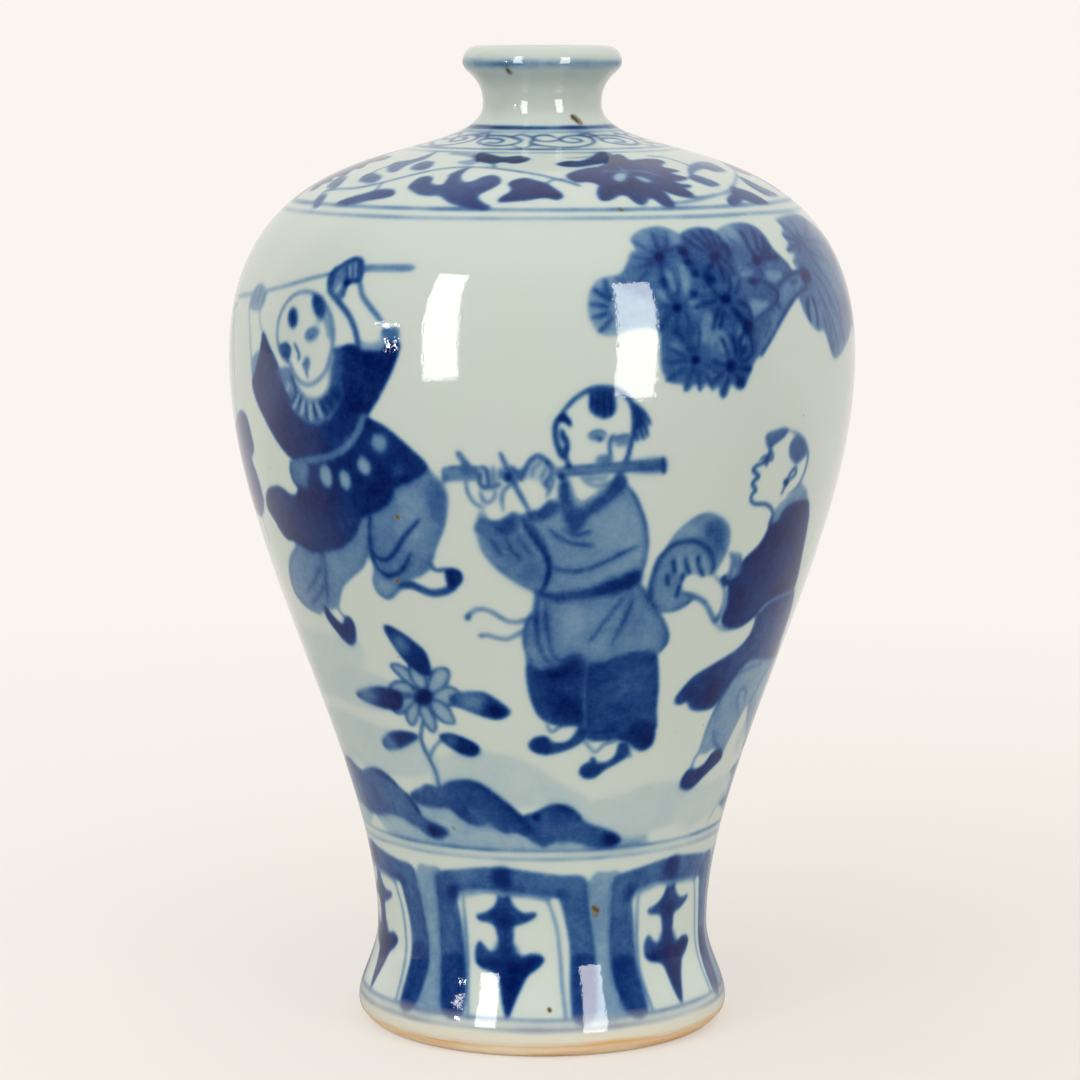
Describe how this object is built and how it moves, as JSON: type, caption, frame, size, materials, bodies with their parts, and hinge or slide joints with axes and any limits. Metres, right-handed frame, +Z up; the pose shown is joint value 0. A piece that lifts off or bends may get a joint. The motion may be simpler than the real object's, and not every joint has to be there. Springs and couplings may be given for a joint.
{
  "type": "meiping vase",
  "caption": "Tall porcelain vase with a small mouth, broad round shoulder and tapering body on a flared foot, painted in blue under a clear glaze; holds a branch or a few stems.",
  "frame": {"origin": "middle of the standing ring, on the table", "axes": "+Z up the vase's axis; -Y faces the viewer of the main painted scene"},
  "size_m": [0.1782, 0.1782, 0.28],
  "materials": {
    "porcelain_clay": "unglazed fired porcelain, warm at the foot",
    "slip": "fired clay slip",
    "painted_glaze": "gloss clear glaze over cobalt blue painting",
    "clear_glaze": "gloss clear glaze with a faint green cast"
  },
  "bodies": {
    "root": {"lower_body": "porcelain_clay", "upper_body": "porcelain_clay", "neck_and_mouth": "porcelain_clay", "belly_lute": "slip", "neck_lute": "slip", "outer_glaze": "painted_glaze", "inner_glaze": "clear_glaze", "base_glaze": "clear_glaze"}
  },
  "joints": []
}
